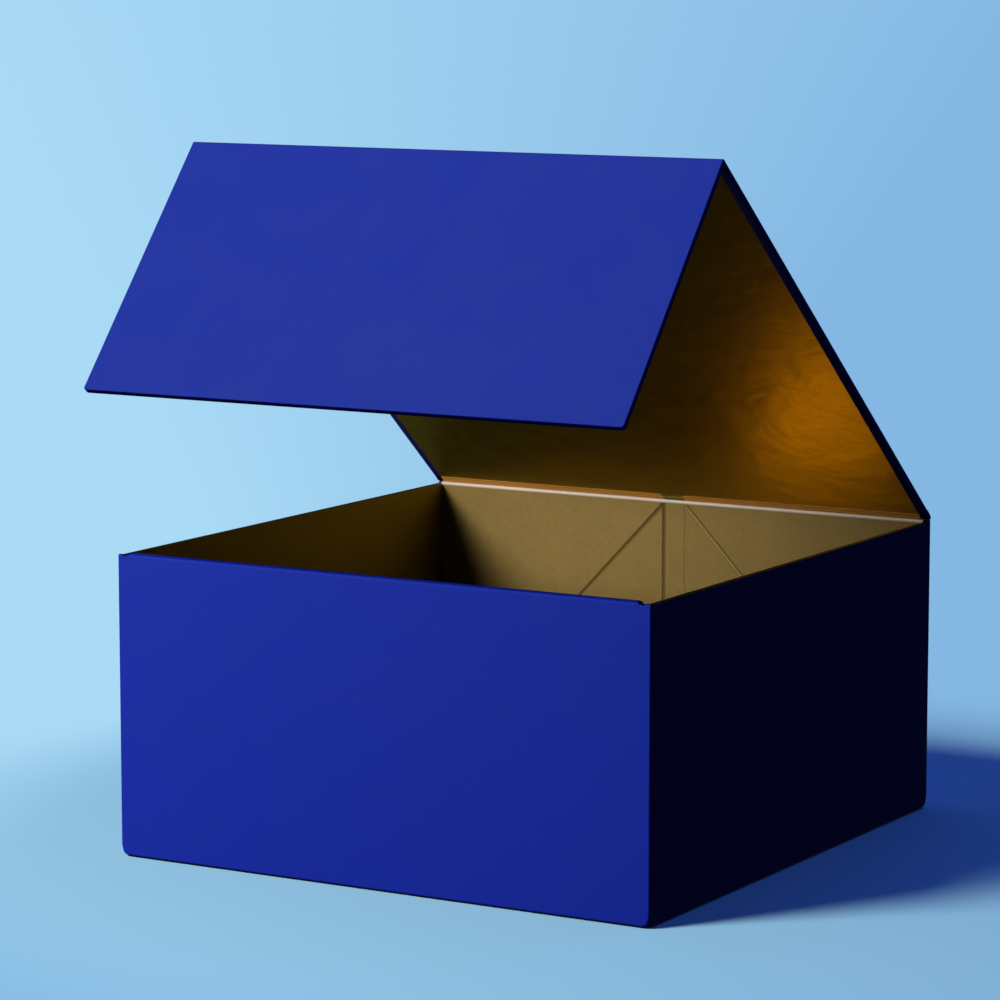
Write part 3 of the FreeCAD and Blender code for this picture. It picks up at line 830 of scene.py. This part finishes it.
hingeCloth = makeHingeCloth()
dress(hingeCloth, coverPaper)
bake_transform(hingeCloth)
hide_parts("lid_hinge_cloth")
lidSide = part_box("lid_lining")[1].x
hingeLining = makeHingeStrip("hinge_lining", -lidSide, lidSide, 0.0, lidPlan["hingeGap"])
dress(hingeLining, lidPaper)
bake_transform(hingeLining)
strips = []
for side in ("left", "right"):
    low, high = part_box(f"lid_hinge_strip_{side}")
    strip = makeHingeStrip(f"hinge_strip_{side}", low.x, high.x, -hingePlan["paper"],
                           lidPlan["hingeGap"] + hingePlan["lap"])
    # The hinge strips wear the orange copy of the gold paper, a painted reflection over gold paper.
    dress(strip, stripPaintedReflection)
    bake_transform(strip)
    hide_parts(f"lid_hinge_strip_{side}")
    strips.append(strip)
print("hinge made")


stagePlan = {
    "size": 60.0, "centre": (0.06, 0, 0), "near": 0.25, "far": 0.40, "floor": (0.345, 0.67, 0.815, 1),
    # glowLeft and glowRight are painted light: the far floor glows brighter on the left and darker on the
    # right, a painted falloff of light.
    "glowLeft": (0.402, 0.705, 0.921, 1), "glowRight": (0.231, 0.479, 0.768, 1),
    "leftEnd": -0.63, "rightEnd": -0.38, "toothScale": 600.0}


def makeStage():
    # A lit paper floor near the box, passing further off into a glow that is painted light: brighter on the
    # left and darker to the right.
    startFresh()
    bpy.ops.mesh.primitive_plane_add(size=stagePlan["size"], location=(0, 0, 0))
    floor = bpy.context.object
    floor.name = "studio_floor"
    bench = Bench("studio_floor_paper")
    spot = bench.add("ShaderNodeTexCoord", {}, {}, "Object")
    reach = bench.add("ShaderNodeVectorMath", {"operation": "DISTANCE"},
                      {0: spot, 1: stagePlan["centre"]}, "Value")
    apart = bench.add("ShaderNodeSeparateXYZ", {}, {0: spot}, "X")
    tooth = bench.noise(spot, stagePlan["toothScale"], 2.0)
    matte = bench.add("ShaderNodeBsdfDiffuse", {}, {"Color": stagePlan["floor"], "Roughness": 0.0})
    # Painted light: the far glow goes from the bright left colour to the darker right one.
    side = bench.band(apart / (reach + 0.05), stagePlan["leftEnd"], stagePlan["rightEnd"])
    glow = bench.blend(side, stagePlan["glowLeft"], stagePlan["glowRight"])
    lit = bench.add("ShaderNodeEmission", {}, {"Color": glow, "Strength": 1.0})
    farAway = bench.add("ShaderNodeMapRange", {"clamp": True, "interpolation_type": "SMOOTHSTEP"}, {
        "Value": reach + (tooth - 0.5) * 0.002, "From Min": stagePlan["near"], "From Max": stagePlan["far"],
        "To Min": 0.0, "To Max": 1.0})
    mixed = bench.add("ShaderNodeMixShader", {}, {0: farAway, 1: matte, 2: lit})
    bench.add("ShaderNodeOutputMaterial", {}, {"Surface": mixed})
    dress(floor, bench.material)
    floor.visible_diffuse = False
    floor.visible_glossy = False
    floor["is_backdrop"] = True


makeStage()

lightPlan = {
    # turn left of the front, rise, distance, size, power, colour, the place it shines to
    "key_light": (33.0, 39.5, 2.3, 0.68, 55.0, (1.0, 0.98, 0.95), (0, 0, 0.12)),
    "cover_light": (37.0, 12.0, 1.45, 0.50, 34.0, (1.0, 0.98, 0.95), (0, 0, 0.12)),
    "lid_light": (42.0, 50.0, 1.9, 0.55, 61.0, (1.0, 0.98, 0.95), (0, -0.1, 0.24)),
    "sky_light": (-150.0, 72.0, 2.0, 2.5, 12.3, (0.034, 0.138, 1.0), (0, 0, 0)),
    "edge_light": (100.0, -30.0, 0.33, 0.08, 0.5, (1.0, 0.98, 0.95), (-0.125, 0.05, 0.19)),
    "rear_light": (174.0, 30.0, 1.6, 0.60, 26.0, (0.95, 0.98, 1.0), (0, 0.1, 0.12)),
    "fill_light": (11.0, 12.0, 1.5, 0.23, 0.172, (1.0, 0.98, 0.95), (-0.07, 0.12, 0.11)),
    # the glow light stands at its place, and glowAim is what it shines to
    "glow_light": (0.0, 0.0, 0.0, 0.075, 0.031, (1.0, 0.43, 0.025), (0.036, 0.116, 0.012)),
    "glowAim": (0.112, 0.068, 0.177), "fillSpread": 16.0,
    "ambient": (0.75, 0.85, 1.0, 1), "ambientStrength": 0.045}


def makeLight(name):
    # A round soft light that stands at its distance from its aim and faces it.
    turn, rise, distance, size, power, colour, aim = lightPlan[name]
    turn, rise = math.radians(turn), math.radians(rise)
    towards = Vector((-math.sin(turn) * math.cos(rise), -math.cos(turn) * math.cos(rise), math.sin(rise)))
    data = bpy.data.lights.new(name, "AREA")
    data.shape = "DISK"
    data.size = size
    data.energy = power
    data.color = colour
    light = bpy.data.objects.new(name, data)
    bpy.context.scene.collection.objects.link(light)
    light.location = Vector(aim) + towards * distance
    light.rotation_euler = towards.to_track_quat("Z", "Y").to_euler()
    return light


def shineOn(light, pieces):
    # Limits a light to some pieces.
    group = bpy.data.collections.new(light.name + "_pieces")
    for piece in pieces:
        group.objects.link(piece)
    light.light_linking.receiver_collection = group


covers = [wrap, lidWrap, hingeCloth]
backWall = [gussetSheet, backFold] + strips
hollow = [nodes["base_lining"]] + sideLinings
shineOn(makeLight("lid_light"), [lidWrap, hingeCloth])
shineOn(makeLight("cover_light"), [wrap])
shineOn(makeLight("rear_light"), covers)
edge = makeLight("edge_light")
edge.visible_camera = False
shineOn(edge, [lidWrap, nodes["lid_lining"]])
fill = makeLight("fill_light")
fill.data.spread = math.radians(lightPlan["fillSpread"])
shineOn(fill, backWall)
shineOn(makeLight("sky_light"), [bpy.data.objects["studio_floor"]])
glow = makeLight("glow_light")
glow.rotation_euler = (glow.location - Vector(lightPlan["glowAim"])).to_track_quat("Z", "Y").to_euler()
glow.visible_camera = False
shineOn(glow, [nodes["lid_lining"]])
others = [piece for piece in bpy.context.scene.objects
          if piece.type == "MESH" and piece not in covers + backWall + hollow]
shineOn(makeLight("key_light"), others)

world = bpy.data.worlds.new("studio_air")
bpy.context.scene.world = world
world.use_nodes = True
air = world.node_tree.nodes["Background"]
air.inputs["Color"].default_value = lightPlan["ambient"]
air.inputs["Strength"].default_value = lightPlan["ambientStrength"]

cameraPlan = {
    "location": (0.8555, -1.4860, 0.3858), "rise": 8.05, "turn": 30.43, "lens": 147.04, "sensor": 36.0}
cameraData = bpy.data.cameras.new("camera")
cameraData.lens = cameraPlan["lens"]
cameraData.sensor_width = cameraPlan["sensor"]
cameraData.dof.use_dof = False
camera = bpy.data.objects.new("camera", cameraData)
bpy.context.scene.collection.objects.link(camera)
camera.location = cameraPlan["location"]
camera.rotation_euler = (math.radians(90 - cameraPlan["rise"]), 0, math.radians(cameraPlan["turn"]))
bpy.context.scene.camera = camera
bpy.context.scene.view_settings.view_transform = "Standard"
print("stage made")

bpy.context.view_layer.update()
low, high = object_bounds()
